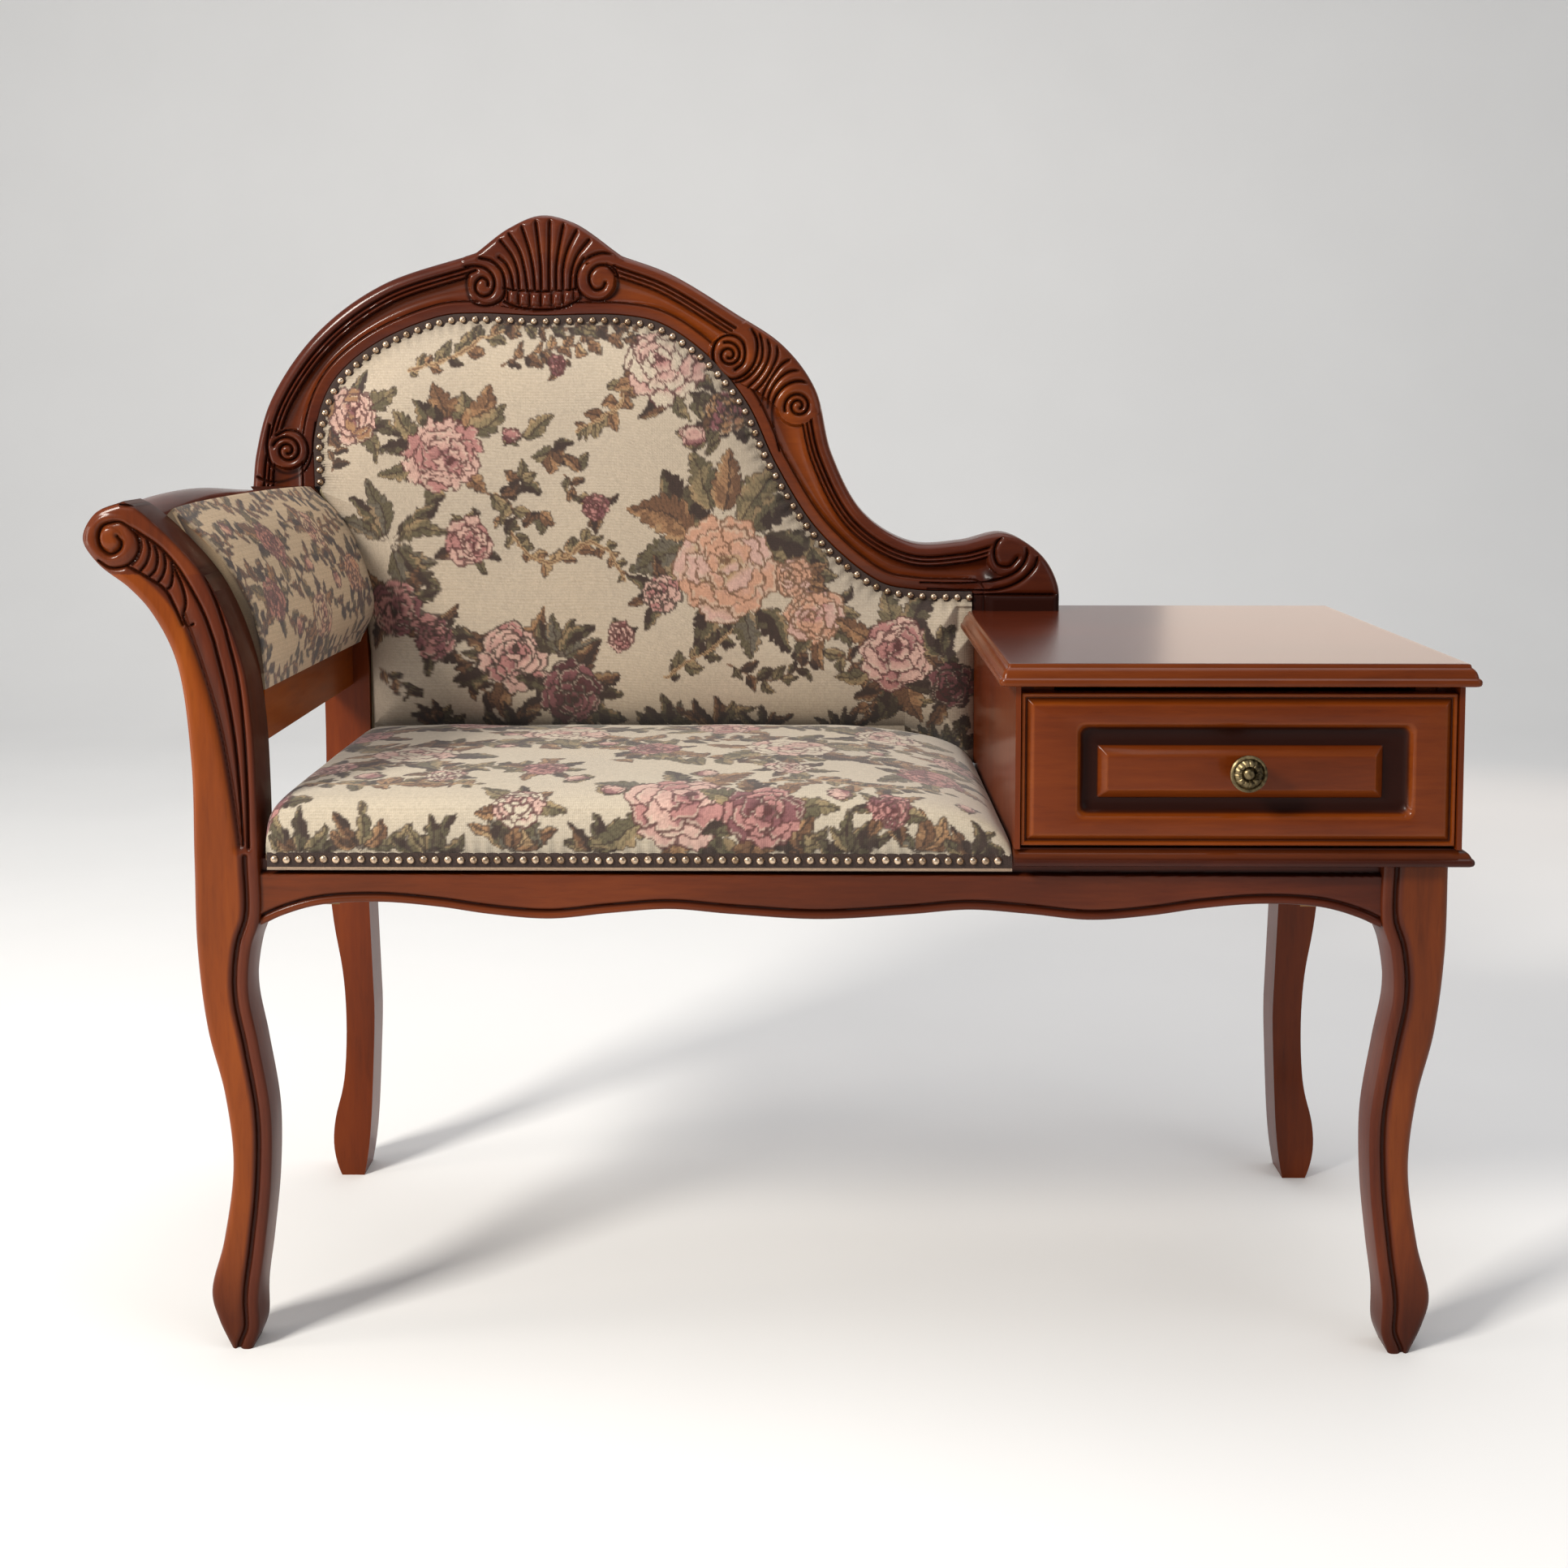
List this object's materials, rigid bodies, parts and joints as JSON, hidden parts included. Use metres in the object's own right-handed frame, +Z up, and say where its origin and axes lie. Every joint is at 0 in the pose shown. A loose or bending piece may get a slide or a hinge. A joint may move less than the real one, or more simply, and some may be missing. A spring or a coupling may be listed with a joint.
{
  "type": "telephone bench",
  "caption": "Carved-wood telephone bench with a padded seat, flared padded arm and scrolled back, joined to a low drawer cabinet with a flat top.",
  "frame": {"origin": "bottom centre of the bench's box, on the floor", "axes": "+X to the viewer's right along the bench, +Y to its back, +Z up; the front faces -Y"},
  "size_m": [1.0828, 0.437, 0.9311],
  "materials": {
    "show_wood": "satin lacquer over a red-brown mahogany stain",
    "cabinet_wood": "plain, thinly sealed",
    "frame_wood": "plain sawn",
    "tapestry": "woven floral tapestry, matt",
    "webbing": "woven jute",
    "lining": "plain dark cotton",
    "antique_brass": "antiqued, darkened in the hollows",
    "steel": "zinc plated"
  },
  "bodies": {
    "bench": {"front_rail": "show_wood", "left_front_leg": "show_wood", "right_front_leg": "show_wood", "left_rear_leg": "show_wood", "right_rear_leg": "show_wood", "rear_rail": "frame_wood", "left_side_rail": "show_wood", "right_side_rail": "show_wood", "middle_rail": "frame_wood", "corner_blocks": "frame_wood", "rear_cleat": "frame_wood", "seat_frame_front": "frame_wood", "seat_frame_rear": "frame_wood", "seat_frame_left": "frame_wood", "seat_frame_right": "frame_wood", "seat_webbing_long": "webbing", "seat_webbing_cross": "webbing", "dust_cover": "lining", "seat_cushion": "tapestry", "back_frame_left": "show_wood", "back_crest_rail": "show_wood", "back_frame_right": "show_wood", "back_stile": "frame_wood", "back_bottom_rail": "frame_wood", "back_canvas": "lining", "back_pad": "tapestry", "back_rear_cover": "tapestry", "arm_top_rail": "show_wood", "arm_lower_rail": "show_wood", "arm_pad": "tapestry", "cabinet_top": "show_wood", "cabinet_bottom": "show_wood", "cabinet_left_side": "show_wood", "cabinet_right_side": "show_wood", "cabinet_back": "cabinet_wood", "left_runner": "cabinet_wood", "right_runner": "cabinet_wood", "left_kicker": "cabinet_wood", "right_kicker": "cabinet_wood", "drawer_stop": "cabinet_wood", "back_dowels": "frame_wood", "arm_dowels": "frame_wood"},
    "drawer": {"drawer_front": "show_wood", "drawer_left_side": "cabinet_wood", "drawer_right_side": "cabinet_wood", "drawer_back": "cabinet_wood", "drawer_bottom": "cabinet_wood", "drawer_knob": "antique_brass", "knob_screw": "steel"}
  },
  "joints": [
    {"name": "drawer_slide", "type": "slide", "parent": "bench", "child": "drawer", "axis": [0, -1, 0], "range_m": [0, 0.24]}
  ]
}
